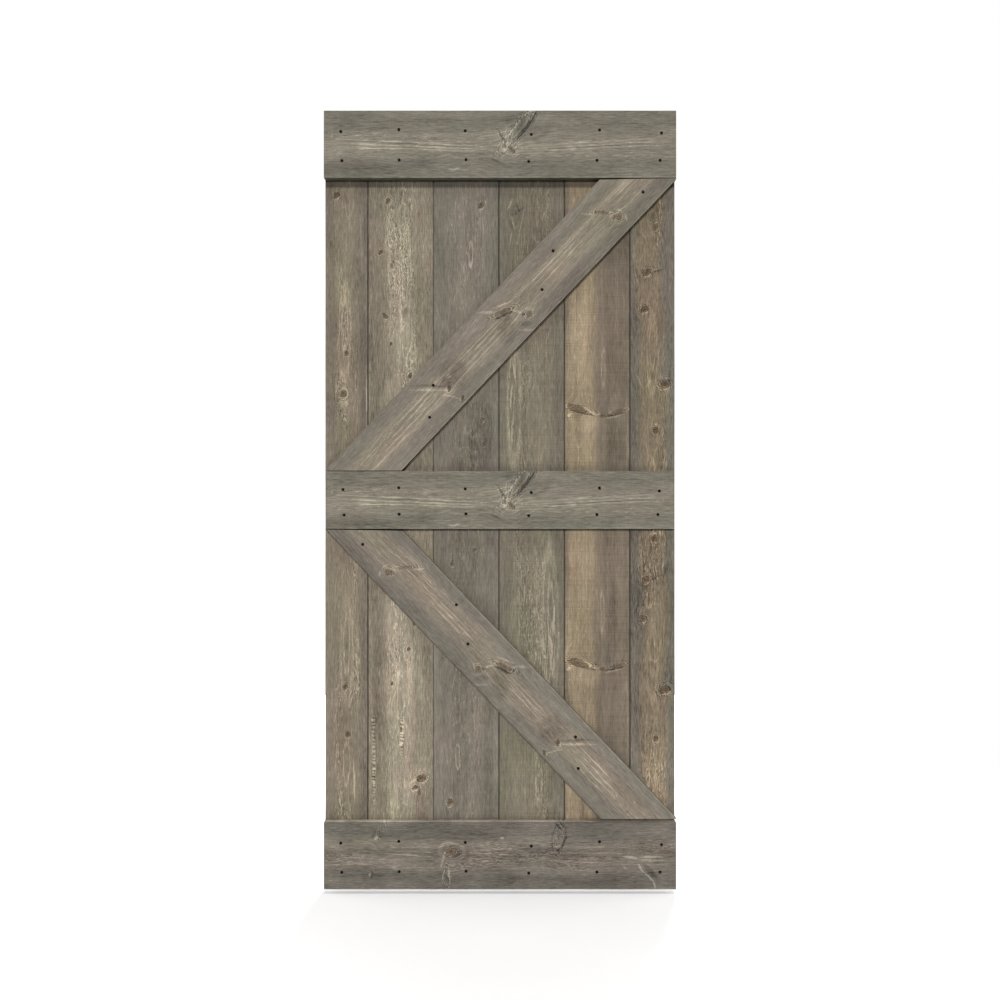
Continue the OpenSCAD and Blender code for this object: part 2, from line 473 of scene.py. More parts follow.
# %% Sweep the thread
TOOTH, TOOTH_OUT, TOOTH_FROM = 0.0006, 0.0016, 0.0125  # the triangle's size and place
THREAD_PITCH = 0.0022
THREAD_TURNS = 7
bpy.ops.mesh.primitive_circle_add(vertices=3, radius=TOOTH,
                                  location=(TOOTH_OUT, 0, TOOTH_FROM),
                                  rotation=(math.radians(90), 0, 0))
thread = bpy.context.active_object
settle(thread)
finish_with(thread, "SCREW", axis="Z", angle=math.tau, screw_offset=THREAD_PITCH,
            iterations=THREAD_TURNS, steps=10, render_steps=10, use_smooth_shade=False)
edit(thread)
bpy.ops.mesh.fill_holes(sides=3)
done_facing_out()
pick(screw)
thread.select_set(True)
bpy.ops.object.join()
print("one screw:", len(screw.data.polygons), "faces")

# %% Drive all the screws
SMOOTH_BELOW = math.radians(35)  # softer angles between faces are shaded smooth
pieces = dict(boards)
for board, spots in places.items():
    node = SCREW_NODES[board]
    pieces[node] = copies_at(screw, spots, front + HEAD_SINK, node + "_set")
bpy.data.objects.remove(screw)
for obj in pieces.values():
    pick(obj)
    bpy.ops.object.shade_smooth_by_angle(angle=SMOOTH_BELOW)
print("pieces:", len(pieces))

# %% [markdown]
# ## Shader maths that reads like sums
# A finish is worked out for each point of the surface by a web of nodes. Written node by
# node it is hard to read, so a small class wraps a node's output. Adding or multiplying
# two of them adds the Math node, and every other node comes from one method that takes
# its type, its settings and what goes into its sockets.


# %% The wire and the recipe
class Wire:
    """A node's output that can be used in sums."""

    def __init__(self, recipe, socket):
        self.recipe, self.socket = recipe, socket

    def math(self, operation, *others):
        return self.recipe.node("Math", {"operation": operation}, (self, *others))

    def vector(self, operation, *others, out=0):
        return self.recipe.node("VectorMath", {"operation": operation}, (self, *others), out)

    def __add__(self, other):
        return self.math("ADD", other)

    def __mul__(self, other):
        return self.math("MULTIPLY", other)

    def __sub__(self, other):
        return self.math("SUBTRACT", other)

    def __truediv__(self, other):
        return self.math("DIVIDE", other)

    def __rsub__(self, other):
        return self * -1 + other

    __radd__, __rmul__ = __add__, __mul__


class Recipe:
    """A material's node tree."""

    def __init__(self, name):
        self.material = bpy.data.materials.new(name)
        self.material.use_nodes = True
        self.tree = self.material.node_tree
        self.tree.nodes.clear()

    def node(self, kind, settings, inputs, out=0):
        """Adds a node, such as a Bump. inputs are values or wires, by name or in order."""
        made = self.tree.nodes.new("ShaderNode" + kind)
        for key, value in settings.items():
            if key == "stops":
                fill_ramp(made.color_ramp, value)
            else:
                setattr(made, key, value)
        pairs = inputs.items() if isinstance(inputs, dict) else enumerate(inputs)
        for key, value in pairs:
            if isinstance(value, Wire):
                self.tree.links.new(value.socket, made.inputs[key])
            else:
                made.inputs[key].default_value = value
        return Wire(self, made.outputs[out]) if len(made.outputs) else None

    def place(self):
        """The point of the surface, in metres."""
        return self.node("TexCoord", {}, (), out=3)

    def ramp(self, value, *stops):
        """A colour that runs through the stops (place, colour)."""
        return self.node("ValToRGB", {"stops": stops}, (value,))

    def finish(self, **inputs):
        """The material, with these values or wires in its Principled shader."""
        named = {key.replace("_", " "): value for key, value in inputs.items()}
        surface = self.node("BsdfPrincipled", {}, named)
        self.node("OutputMaterial", {}, {"Surface": surface})
        return self.material


def fill_ramp(ramp, stops):
    """Sets a colour ramp's stops (place, colour), from left to right."""
    while len(ramp.elements) > 1:
        ramp.elements.remove(ramp.elements[-1])
    ramp.elements[0].position, ramp.elements[0].color = stops[0]
    for place, colour in stops[1:]:
        ramp.elements.new(place).color = colour


# %% [markdown]
# ## Tools of the wood finisher
# Four helpers are enough for most of a finish: a soft step from 0 to 1, a hump that rises
# and falls, a noise that is stretched along the grain, and a tone from a colour card, given
# as the eight-bit numbers that a paint shop prints and turned into a shader's linear light.

# %% Step, hump, noise and tone
SEED_APART = (7.31, 3.17, 5.53)  # how far apart two seeds' noises lie


def step(value, low, high):
    """0 below low, 1 above high and a smooth ramp between. low may be above high."""
    return value.recipe.node("MapRange", {"interpolation_type": "SMOOTHSTEP"}, (
        value, low, high, 0, 1))


def hump(value, start, risen, falling, end):
    """0 up to start, 1 from risen to falling and 0 again from end."""
    return step(value, start, risen) * step(value, end, falling)


def noise(point, per_metre, seed, detail=2.0, rough=0.5):
    """Noise around 0, with its number of waves per metre along, through and across."""
    place = point.vector("MULTIPLY_ADD", per_metre, tuple(seed * v for v in SEED_APART))
    return point.recipe.node("TexNoise", {}, {
        "Vector": place, "Scale": 1, "Detail": detail, "Roughness": rough}) - 0.5


def tone(red, green, blue):
    """A colour card's tone as linear light."""
    def linear(v):
        v = v / 255
        return v / 12.92 if v <= 0.04045 else ((v + 0.055) / 1.055) ** 2.4
    return (linear(red), linear(green), linear(blue), 1)


# %% [markdown]
# ## How stained pine is built up
# A board is a slice through a tree, and the finish follows that. Each point is first put
# into the board's own directions: along the grain, through the thickness and across the
# width. Knots push the grain aside, as a post pushes a stream. Growth rings are circles
# round the pith, which lies somewhere behind the board, so a flat slice shows them as
# long arches and lines, and the ends show them as arcs. The thin grey-brown stain sinks
# into the soft early wood and wipes off the hard late wood, which stays pale. Where the
# saw only skims the rings, they make a pale wavy figure, and round each knot they close
# into circles. Fibres, flecks, thin lines, blotches and long bands of darker and lighter
# wood come on top, and so do drawn marks: streaks, the outlines of whorls, the crescents
# beside a knot, and rows of ticks where a worn saw blade tore the wood.
#
# A wood picture would be quicker, but it can't turn a corner to the end grain, and it
# would repeat on eleven boards. Worked out in three dimensions, every face agrees.

# %% Board directions
MM = 0.001  # knots, marks, cores and piths are given in millimetres


def board_point(recipe, lay):
    """The point of the surface, and the same in the board's own directions."""
    place = recipe.place()
    return place, recipe.node("Mapping", {"vector_type": "TEXTURE"}, (
        place, lay["origin"], (0, lay["turn"], 0), (1, 1, lay["flip"])))


def parted(point):
    """The three numbers of a point."""
    first = point.recipe.node("SeparateXYZ", {}, (point,))
    outs = first.socket.node.outputs
    return [Wire(point.recipe, outs[i]) for i in range(3)]


def shaken(point, amount, per_metre):
    """The point moved about a little, so that drawn shapes get an uneven outline."""
    about = point.recipe.node("TexNoise", {}, {
        "Vector": point, "Scale": per_metre, "Detail": 3, "Roughness": 0.6}, out=1)
    about = about.vector("SUBTRACT", (0.5, 0.5, 0.5))
    return about.vector("MULTIPLY_ADD", (amount,) * 3, point)


# %% Ovals on a board
THROUGH = 1000  # an oval reaches right through the board
HIDDEN, ROUND_KNOT, PALE_KNOT = 0, 1, 3  # kinds of knot, and 2 is a long one


def oval(point, along_at, across_at, long, wide, tilt):
    """A point as seen from an oval, and its squared distance, which is 1 on the outline.
    The oval is given by its place, half length and half width, and its tilt in degrees."""
    seen = point.recipe.node("Mapping", {"vector_type": "TEXTURE"}, (
        point, (along_at * MM, 0, across_at * MM), (0, -math.radians(tilt), 0),
        (long * MM, THROUGH, wide * MM)))
    return seen, seen.vector("DOT_PRODUCT", seen, out=1)


def oval_of(knot):
    """A knot's place, half length, half width and tilt."""
    along_at, across_at, wide, stretch, tilt, _ = knot
    return along_at, across_at, wide * stretch, wide, tilt


def knots_in(point, knots):
    """How far the knots push the grain aside, the distance from the nearest knot in knot
    radii, and the same from the nearest brown heart. A knot is (along, across, half width,
    length over width, tilt, kind). A hidden knot lies just under the face, and the heart
    of a pale one hardly shows."""
    push = 0
    nearest = heart = point.recipe.node("Math", {}, (9, 0))
    for knot in knots:
        seen, square = oval(point, *oval_of(knot))
        wide, kind = knot[2] * MM, knot[5]
        push = parted(seen)[2] * (2.1 * wide) / (square + 1.1) + push
        if kind != HIDDEN:
            distance = square.math("SQRT")
            nearest = nearest.math("MINIMUM", distance)
            heart = heart.math("MINIMUM", distance + 0.7 if kind == PALE_KNOT else distance)
    return push, nearest, heart


def marks_in(point, marks, hollow=False):
    """The sum of soft ovals, or of their outlines, given as (along, across, half length,
    half width, tilt, strength in percent). A strength above 0 is pale, below 0 dark."""
    total = 0
    for *place, strength in marks:
        square = oval(point, *place)[1]
        soft = hump(square, 0.45, 0.85, 1.05, 1.5) if hollow else step(square, 1, 0.15)
        total = soft * (strength / 100) + total
    return total


def crescents(knots):
    """Dark and pale ovals for every round knot. They overlap, and leave a ragged dark
    crescent round one side and a pale one round the other."""
    marks = []
    for knot in knots:
        if knot[5] == ROUND_KNOT:
            at, aside, long, wide, tilt = oval_of(knot)
            marks += [(at, aside, 1.2 * long, 1.15 * wide, tilt, -60),
                      (at - 0.55 * long, aside + 0.25 * wide, 0.85 * long, 0.8 * wide,
                       tilt, 55),
                      (at + 0.35 * long, aside - 0.4 * wide, 0.4 * long, 0.35 * wide,
                       tilt, -40)]
    return marks


# %% Colours
BOOST = 2.6  # the tones are stored this much brighter, and the depth ramp takes it back


def mixed(recipe, share, first, second, blend="MIX"):
    """A mix of two colours, by a share of the second."""
    return recipe.node("Mix", {"data_type": "RGBA", "blend_type": blend},
                       {0: share, 6: first, 7: second}, out=2)


def boosted(card):
    """A colour card's tone, stored brighter."""
    return tuple(v * BOOST for v in tone(*card)[:3]) + (1,)


def depth_ramp(recipe, shade):
    """From dark early wood over the board's own tone at 0.5 to the palest late wood."""
    def grey(v, warm=1.0):
        return (v / BOOST, v / BOOST * (1 + (warm - 1) / 2), v / BOOST * warm, 1)
    return recipe.ramp(shade, (0.0, grey(0.22)), (0.28, grey(0.66, 0.97)),
                       (0.5, grey(1.0)), (0.72, grey(1.38, 0.99)), (1.0, grey(2.3, 0.98)))


# %% Growth rings
def growth_rings(lay, length, depth, across, flow):
    """The late wood of each ring, and how pale the stain left it."""
    seed = lay["seed"]
    pith_side, pith_deep = lay["pith"]
    off_side = across - pith_side * MM + noise(flow, (2.4, 5, 8), seed) * 0.05
    off_deep = depth + pith_deep * MM + noise(flow, (3.5, 0, 10), seed + 1) * (
        lay["sway"] * MM)
    radius = (off_side * off_side + off_deep * off_deep).math("SQRT")
    ring = radius * (1 / (lay["ring"] * MM)) + noise(flow, (14, 30, 90), seed + 2, 3) * 0.8
    late = hump(ring.math("FRACT"), 0.66, 0.9, 0.93, 1.0)
    on_ring = flow.recipe.node("CombineXYZ", {}, (length, depth, ring * 0.01))
    pale = late * step(noise(on_ring, (7, 5, 120), seed + 3, 3, 0.7), 0.0, 0.12)
    return late, pale


def wavy_figure(lay, core, flow):
    """The wavy lines, pale beside dark, where the saw skimmed the rings."""
    ripple = (noise(flow, lay["swirl"], lay["seed"] + 15, 3, 0.55) * 11).math("FRACT")
    lines = hump(ripple, 0.3, 0.45, 0.52, 0.62) - hump(ripple, 0.58, 0.7, 0.78, 0.92) * 0.7
    patches = step(noise(flow, (2.8, 8, 14), lay["seed"] + 16, 2), -0.04, 0.1)
    return lines * patches * (0.12 + core * 0.88) * lay["figure"]


def circles(nearest, ragged):
    """Faint circles of growth round the knots, out to 2.6 radii."""
    circle = (nearest * 2.3 + ragged * 2).math("FRACT")
    return (hump(circle, 0.15, 0.4, 0.6, 0.85) - 0.46) * hump(
        nearest, 0.5, 0.9, 1.2, 2.6) * (0.52 + ragged * 1.6)


# %% Drawn marks
STREAK = 20  # a mark this much longer than wide is a streak, and stays calm
TICKS = 88  # saw ticks per metre


def drawn_marks(lay, point, rough, flow, ragged):
    """The lay's marks and loops, and the crescents beside its round knots."""
    streaks = [mark for mark in lay["marks"] if mark[2] > STREAK * mark[3]]
    others = [mark for mark in lay["marks"] if mark not in streaks]
    drawn = (marks_in(shaken(point, 0.006, 9), streaks) + marks_in(rough, others)
             + marks_in(rough, lay["loops"], hollow=True))
    drawn = drawn * (0.85 + noise(flow, (34, 100, 300), lay["seed"] + 8, 3, 0.65) * 2.4)
    return drawn + marks_in(rough, crescents(lay["knots"])) * (1.1 + ragged * 3)


def saw_ticks(lay, length, depth, rough, flow, ragged):
    """Rows of short torn marks on the face."""
    beat = length * TICKS + noise(flow, (34, 5, 20), lay["seed"] + 17, 3) * 4
    tick = step(beat.math("FRACT"), 0.4, 0.65) * 0.8 - 0.2 + ragged * 2.4
    return marks_in(rough, lay["ticks"]) * step(depth, 0.004, 0.002) * tick


# %% Seams, sawn ends, painted shade under the rails and painted light along the edges
def stain_and_painted_light(lay, place, point, length, depth, across):
    """The share of its light that each point keeps. Stain gathers in the seams and on sawn ends.
    A dark band under each rail is painted shade, and along a rail's or brace's edges the face
    and the narrow sides get painted highlights and painted shade."""
    axis, low_end, high_end = lay["ends"]
    along_end = parted(place)[axis]
    cut_end = step(along_end, high_end - 0.0006, high_end - 0.0002) + step(
        along_end, low_end + 0.0006, low_end + 0.0002)
    shade = 1 - cut_end * 0.35
    gathered = 1 + noise(point, (5, 1, 1), lay["seed"] + 18, 3) * 1.4
    for way, seam, amount in zip((1, -1), lay["seams"], lay["gather"]):
        line = step(across, seam + way * 0.0030, seam + way * 0.0008)
        shade = shade * (1 - line * (gathered * amount))
    on_face = step(depth, 0.0026, 0.0015)
    # painted shade: a dark band on a plank's face just under each rail, where the rail's shade falls
    for top, reach, soft, dark in lay["under"]:
        foot = top - reach
        band = step(length, foot - soft, foot) * step(length, top + 0.002, top)
        shade = shade * (1 - band * on_face * dark)
    # painted highlights and painted shade on a rail's or brace's face along its lower and upper edge,
    # and on the narrow sides beside it
    if lay["half"]:
        for way, rim, side in zip((-1, 1), lay["rims"], lay["sides"]):
            painted_rim_zone = step(across * way, lay["half"] - 0.0042, lay["half"] - 0.0024)
            shade = shade * (1 + painted_rim_zone * on_face * (rim - 1)) * (
                1 + painted_rim_zone * (1 - on_face) * (side - 1))
    return shade


# %% The finish
def stained_pine(name, lay):
    """Pine with a thin grey-brown stain, for a board with this lay."""
    recipe = Recipe(name)
    place, point = board_point(recipe, lay)
    seed = lay["seed"]
    rough = shaken(shaken(point, 0.008, 18), 0.009, 95)
    ragged = noise(rough, (170, 170, 170), seed + 13, 2)
    push, nearest, heart_near = knots_in(rough, lay["knots"])
    length, depth, raw_across = parted(point)
    across = raw_across - push
    flow = recipe.node("CombineXYZ", {}, (length, depth, across))

    # rings, heartwood core, fibres, flecks, blotches, bands and lines
    late, pale = growth_rings(lay, length, depth, across, flow)
    core_at, core_half = (v * MM for v in lay["core"])
    wander = noise(flow, (3, 8, 0), seed + 10) * 0.05
    core = step((across - core_at + wander).math("ABSOLUTE"), core_half * 1.35,
                core_half * 0.6)
    fibre = noise(flow, (13, 200, 230), seed + 4, 4, 0.65)
    fine = noise(flow, (45, 300, 420), seed + 11, 3, 0.7)
    fleck = step(noise(flow, (85, 200, 260), seed + 5, 2, 0.6), 0.1, 0.22)
    blotch = noise(flow, (7, 10, 18), seed + 6, 4, 0.6)
    band = noise(flow, (0.9, 12, 28), seed + 7, 3)
    lines = step(noise(flow, (2.2, 60, 290), seed + 14, 3, 0.6), 0.06, 0.2)
    saw = noise(point, (330, 8, 5), seed + 12, 2)
    shade = (0.5 + blotch * lay["blotch"] + band * lay["band"]
             + (fibre * 0.36 + fine * 0.95) * lay["grain"]
             + wavy_figure(lay, core, flow) + circles(nearest, ragged)
             + late * 0.05 + pale * (0.35 + core * 0.65) * lay["shine"]
             + lines * (0.3 + core * 0.7) * lay["lines"]
             + fleck * (0.3 + core) * lay["fleck"]
             + drawn_marks(lay, point, rough, flow, ragged) + saw * lay["saw"])
    if lay["ticks"]:
        shade = shade + saw_ticks(lay, length, depth, rough, flow, ragged)

    # the depth of the stain on the board's two tones, and a slow drift of tint
    wood = mixed(recipe, 1, mixed(recipe, core, boosted(lay["edge"]), boosted(lay["tone"])),
                 depth_ramp(recipe, shade), "MULTIPLY")
    tint = recipe.ramp(noise(flow, (4, 10, 14), seed + 9, 3) * 1.3 + 0.5,
                       (0.3, (0.98, 1.0, 0.95, 1)), (0.5, (1, 1, 1, 1)),
                       (0.7, (1.03, 0.99, 0.99, 1)))
    wood = mixed(recipe, 1, wood, tint, "MULTIPLY")

    # knots
    heart = recipe.ramp(heart_near * 0.7 + ragged * 0.9,
                        (0.0, tone(108, 89, 68)), (0.25, tone(72, 60, 47)),
                        (0.45, tone(128, 108, 84)), (0.62, tone(58, 50, 41)),
                        (0.82, tone(118, 104, 84)), (1.0, tone(*lay["tone"])))
    at_knot = step(heart_near, 1.2, 0.7) * (0.76 + ragged * 1.1)
    wood = mixed(recipe, at_knot, wood, heart)

    # stain in the seams and on sawn ends, with painted shade under the rails and painted highlights and
    # shade along the edges of rails and braces
    painted_light_and_stain = stain_and_painted_light(lay, place, point, length, depth, raw_across)
    wood = recipe.node("VectorMath", {"operation": "SCALE"}, {0: wood, "Scale": painted_light_and_stain})
    relief = fibre * 0.4 + fine * 0.3 + late * 0.3 - at_knot * 0.2
    bump = recipe.node("Bump", {}, {"Strength": 0.5, "Distance": 0.0007, "Height": relief})
    return recipe.finish(Base_Color=wood, Roughness=0.72 + fibre * 0.3 - pale * 0.08,
                         Normal=bump, Specular_IOR_Level=0.2)


# %% [markdown]
# ## Eleven boards, each with its own lay
# The lay says how a board was cut: its stain tone in the core and at the edges, where the
# pith was, how wide its rings are, and where its knots, pale streaks and dark smears sit.
# Places are in millimetres along the grain and across the width, a plank's from its foot
# and its middle line, a rail's and a brace's from its middle.

# %% The common lay
# core and pith: place across or behind, half width or depth. ring: width of a ring. swirl:
# waves of the figure per metre. gather: stain in the left and right seam. under: painted
# shade below the rails. rims, sides: painted light and shade, the share of light kept along
# the lower and upper edge, on the face and beside it; above 1 a painted highlight, below 1
# painted shade.
FAR = 9.0  # a seam that is nowhere near
USUAL = dict(pith=(0, 70), sway=50, ring=4.2, core=(0, 50), shine=0.34, blotch=0.55,
             band=0.7, fleck=0.16, saw=0.12, grain=1.3, lines=0.16, figure=0.34,
             swirl=(9, 40, 62), marks=[], loops=[], ticks=[], gather=(0.5, 0.5),
             seams=(-FAR, FAR), under=[], half=0, rims=(1.25, 1.0), sides=(0.45, 0.9),
             turn=0, flip=1)
# the painted shade under a rail, a dark band on the planks: its top edge, its reach, its soft edge and
# its strength
PAINTED_SHADOW_UNDER_RAILS = [(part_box("top_rail")[0].z, 0.016, 0.008, 0.6),
               (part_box("middle_rail")[0].z, 0.004, 0.002, 0.5)]
lays = {}


def lay_out(node, shift=0, **own):
    """Adds the lay of a board. Its origin is on the middle line in the front face, and can
    be shifted along a brace."""
    low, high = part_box(node)
    x, z = (low.x + high.x) / 2, (low.z + high.z) / 2
    if node in plank_nodes:
        first, last = node == plank_nodes[0], node == plank_nodes[-1]
        shown = high.x - low.x - (0 if last else TONGUE_REACH)
        x, z = low.x + shown / 2, 0
        cut_so = dict(turn=math.radians(-90), flip=-1, ends=(2, low.z, high.z),
                      under=PAINTED_SHADOW_UNDER_RAILS,
                      seams=(-FAR if first else -shown / 2, FAR if last else shown / 2))
    elif node in RAIL_NODES:
        cut_so = dict(ends=(0, low.x, high.x), half=(high.z - low.z) / 2)
    else:
        hand, slope = BRACE_RISE[node], brace_slope(node)
        cut_so = dict(turn=-slope if hand > 0 else slope - math.pi, flip=hand,
                      ends=(2, low.z, high.z), half=BRACE_WIDTH / 2)
        x += shift * MM * math.cos(slope)
        z -= shift * MM * math.sin(slope)
    lays[node] = dict(USUAL, origin=(x, low.y, z), **cut_so) | own


# %% Planks 1 to 4
lay_out(
    "plank_1", seed=1, tone=(125, 115, 99), edge=(119, 110, 97), core=(0, 30), pith=(4, 50), lines=0.14,
    shine=0.16, figure=0.46, band=0.35, grain=1.2,
    knots=[(1909, -28, 8, 1.4, 30, 1), (1473, 0, 6, 1.5, -20, 1), (1360, -8, 9, 1.2, 0, 1),
           (551, -3, 7, 1.4, 10, 1), (418, 3, 6, 1.3, 0, 1)],
    marks=[(1790, 41, 110, 6, 0, 20), (1800, 47, 50, 8, 0, -10), (1900, -10, 30, 12, -60, -12),
           (600, 30, 200, 6, 0, 8), (285, 21, 80, 3.8, -2, 40), (500, 45, 400, 14, 0, -7),
           (1500, 46, 260, 12, 0, -10), (1320, 56.5, 140, 3, 0, 50)],
    loops=[(1550, -5, 70, 9, 1, 30), (1530, -5, 130, 17, 1, 20), (670, 0, 80, 9, 0, 28),
           (650, 0, 140, 18, 0, 20), (340, 0, 60, 9, 0, 26)])
lay_out(
    "plank_2", seed=2, tone=(143, 134, 117), edge=(130, 121, 105), core=(0, 36), pith=(10, 45), sway=70,
    shine=0.26, fleck=0.3, grain=1.3, figure=0.5, swirl=(13, 45, 78), gather=(0.5, 0.2),
    knots=[(1892, -36, 6, 1.6, 20, 1), (1751, -55, 6, 1.4, 30, 1), (1575, -44, 6, 1.6, -30, 1),
           (1498, -25, 4, 1.5, 0, 1), (1409, 25, 6, 1.5, 20, 1), (656, 22, 4, 1.6, 0, 1),
           (559, -25, 4, 1.6, 0, 1), (725, 39, 4, 1.5, 0, 1), (297, 58, 11, 1.2, 70, 1),
           (272, 40, 6, 1.6, 60, 1)],
    marks=[(1320, -22, 100, 40, 2, 14), (500, 42, 220, 40, 0, 13), (450, -45, 340, 42, 0, -16),
           (300, 45, 50, 30, 0, 12), (262, 50, 12, 8, 0, -40), (290, 35, 16, 4, 60, 40)],
    loops=[(1700, 12, 90, 8, 0, 24), (1680, 12, 150, 16, 0, 16), (500, 0, 100, 10, 0, 20)],
    ticks=[(445, -75, 35, 7, 0, 50), (335, -74, 140, 6, 0, 60), (415, 3, 65, 7, 0, 80)])
lay_out(
    "plank_3", seed=3, tone=(118, 111, 99), edge=(116, 110, 99), pith=(0, 90), shine=0.1, band=0.4,
    grain=0.95, lines=0.08, figure=0.14, gather=(0.2, 0.5),
    knots=[(1881, 41, 8, 1.4, 40, 1), (1288, 46, 6, 1.2, 0, 1), (1219, 49, 5, 1.2, 0, 1),
           (890, -39, 5, 1.4, 0, 1), (929, 24, 4, 1.3, 0, 1), (231, -45, 8, 1.3, 0, 1)],
    marks=[(1250, 42, 120, 45, 0, -20), (900, 0, 120, 60, 0, -8), (1750, 0, 200, 80, 0, 4),
           (1900, 40, 12, 20, 0, -12)],
    loops=[(1746, 13, 34, 6, 0, 42), (359, -23, 34, 6, 0, 42), (1500, -60, 60, 12, 0, 14)])
lay_out(
    "plank_4", seed=4, tone=(120, 113, 97), edge=(113, 107, 93), pith=(30, 80), shine=0.1, saw=0.22,
    grain=1.05, band=0.3, blotch=0.35, lines=0.08, figure=0.28,
    knots=[(1860, -50, 12, 1.6, 0, 0), (750, 70, 12, 3, 0, 0)],
    marks=[(1860, -40, 50, 20, 20, -10), (1800, 0, 250, 100, 0, -10), (1885, -60, 22, 3, 22, 40),
           (1835, -52, 26, 3, -14, 40), (1790, -58, 24, 3, 10, 30), (1870, -30, 12, 6, 60, -30),
           (1430, -50, 40, 3.2, -8, 50), (1360, -56, 35, 3.2, 3, 50), (740, 62, 55, 3.2, 4, 50),
           (655, 56, 45, 3.2, -8, 50)],
    loops=[(1360, -56, 130, 9, 2, 36), (1270, -58, 70, 4, 0, 30), (1330, -50, 170, 20, 0, 20),
           (720, 55, 130, 9, -2, 36), (640, 50, 90, 6, 5, 36), (720, 52, 220, 22, -1, 22),
           (320, 20, 90, 9, 0, 14)])

# %% Planks 5 and 6
WHORLS_AT = (1319, 617)  # plank 5's two whorls, up from its foot


def at_both(marks):
    """The same marks round both whorls."""
    return [(mark[0] + up, *mark[1:]) for up in WHORLS_AT for mark in marks]


WHORL = [
    (-10, -44, 50, 4.2, 104, -50), (10, -60, 26, 3.2, 96, -36), (-4, -24, 18, 4.5, 128, 50),
    (-16, -78, 10, 5, 60, 36), (-16, 50, 34, 3.4, 77, -50), (-23, 44, 30, 3.2, 77, 34),
    (-14, 0, 14, 5, 90, 26), (-100, 83, 90, 5, 0, 20), (-20, 14, 5, 10, 0, -40), (30, 0, 50, 90, 0, -5),
    (-40, -30, 30, 50, 0, 12)]
WHORL_KNOTS = [
    (0, -54, 7.5, 4.4, 102, 2), (-18, 14, 5, 1.5, 90, 2), (-6, 60, 6, 3.2, 75, 2),
    (6, -50, 14, 0.7, 0, 0)]
lay_out(
    "plank_5", seed=5, tone=(143, 128, 106), edge=(117, 106, 92), core=(-45, 42), pith=(-30, 100),
    shine=0.08, saw=0.32, blotch=0.5, grain=0.8, lines=0.08, figure=0.1,
    knots=at_both(WHORL_KNOTS),
    marks=at_both(WHORL) + [
        (1200, 50, 120, 30, 0, -10), (500, 0, 500, 100, 0, -7), (1500, -50, 120, 25, 0, 12),
        (1440, 50, 100, 30, 0, -10), (750, 55, 100, 30, 0, -10), (860, 30, 100, 6, 0, 12)],
    loops=[(1432, 17, 55, 5, 1, 26), (758, 14, 55, 5, 0, 28)])
lay_out(
    "plank_6", seed=6, tone=(127, 114, 95), edge=(111, 105, 94), core=(0, 34), pith=(0, 50), shine=0.16,
    grain=1.35, band=0.5, figure=0.4,
    knots=[(1696, -16, 10, 1.3, 60, 1), (1820, 9, 6.3, 1.5, 0, 1), (1594, -22, 8.8, 1.4, 60, 1),
           (1387, 36, 12.5, 1.2, 70, 1), (1260, 9, 7.5, 1.5, 0, 1), (959, 6, 7.5, 1.5, 0, 1),
           (846, -19, 8.8, 1.4, 50, 1), (739, -25, 8.8, 1.3, 50, 1), (543, 36, 12.5, 1.2, 60, 1),
           (407, 9, 7.5, 1.4, 0, 1)],
    marks=[(1395, -36, 30, 4, -30, 24), (1700, 0, 20, 4, 70, 24), (1700, 12, 30, 3, 75, -30),
           (850, 5, 30, 3, 65, -24), (700, 0, 450, 100, 0, -20), (1600, -48, 100, 12, 0, -10)],
    loops=[(1490, 0, 60, 8, 0, 28), (1470, 0, 110, 15, 0, 20), (1120, 0, 60, 8, 0, 26),
           (640, 0, 60, 8, 0, 28), (620, 0, 110, 15, 0, 20), (310, 0, 60, 9, 0, 22)])

# %% Rails' lays
RAIL = dict(
    seed=11, tone=(129, 123, 110), edge=(115, 111, 99), core=(-4, 36), pith=(-5, 90), sway=30,
    shine=0.1, blotch=0.6, grain=1.1, band=0.45, figure=0.2,
    knots=[(32, -15, 6.4, 2.2, -42, 2), (55, 46, 12.5, 4.2, 52, 3), (30, 20, 10, 1.6, 60, 0)],
    marks=[(-240, 4, 260, 2.6, -3, 24), (-240, -6, 260, 2.6, -2.4, 24), (-250, -14, 240, 2.6, -1.4, 28),
           (-230, -4, 300, 14, -2.4, 5), (-220, -1, 240, 2.2, -2.8, -20), (270, -10, 210, 2.6, 2.6, 26),
           (270, -2, 210, 2.6, 3.2, 22), (260, 6, 210, 2.6, 3.6, 20), (260, 0, 300, 14, 3, 6),
           (270, -6, 200, 2.2, 3, -20), (70, 44, 54, 5.6, 54, -50), (88, 64, 30, 12, 58, -24),
           (46, 52, 44, 3, 51, 30), (62, 50, 40, 2.4, 53, 24), (36, 18, 30, 2.8, 40, 22),
           (4, 22, 32, 3.8, -58, -42), (16, 28, 34, 2.8, 84, 20), (-6, 34, 22, 3, -80, 16),
           (45, -8, 24, 3.5, 30, 34), (-126, -68, 22, 4.5, 4, 50), (-70, -50, 20, 4, 40, 16),
           (-160, -56, 40, 3, 0, 20), (80, -34, 20, 4, 20, 16), (100, 18, 30, 3, 14, -20),
           (130, 14, 30, 3, 10, 20), (-300, 60, 200, 30, 0, -6), (-300, -60, 200, 30, 0, -5),
           (300, 60, 200, 25, 0, 3)])
lay_out("top_rail", **RAIL)
lay_out("middle_rail", **dict(RAIL, tone=(126, 120, 107)))
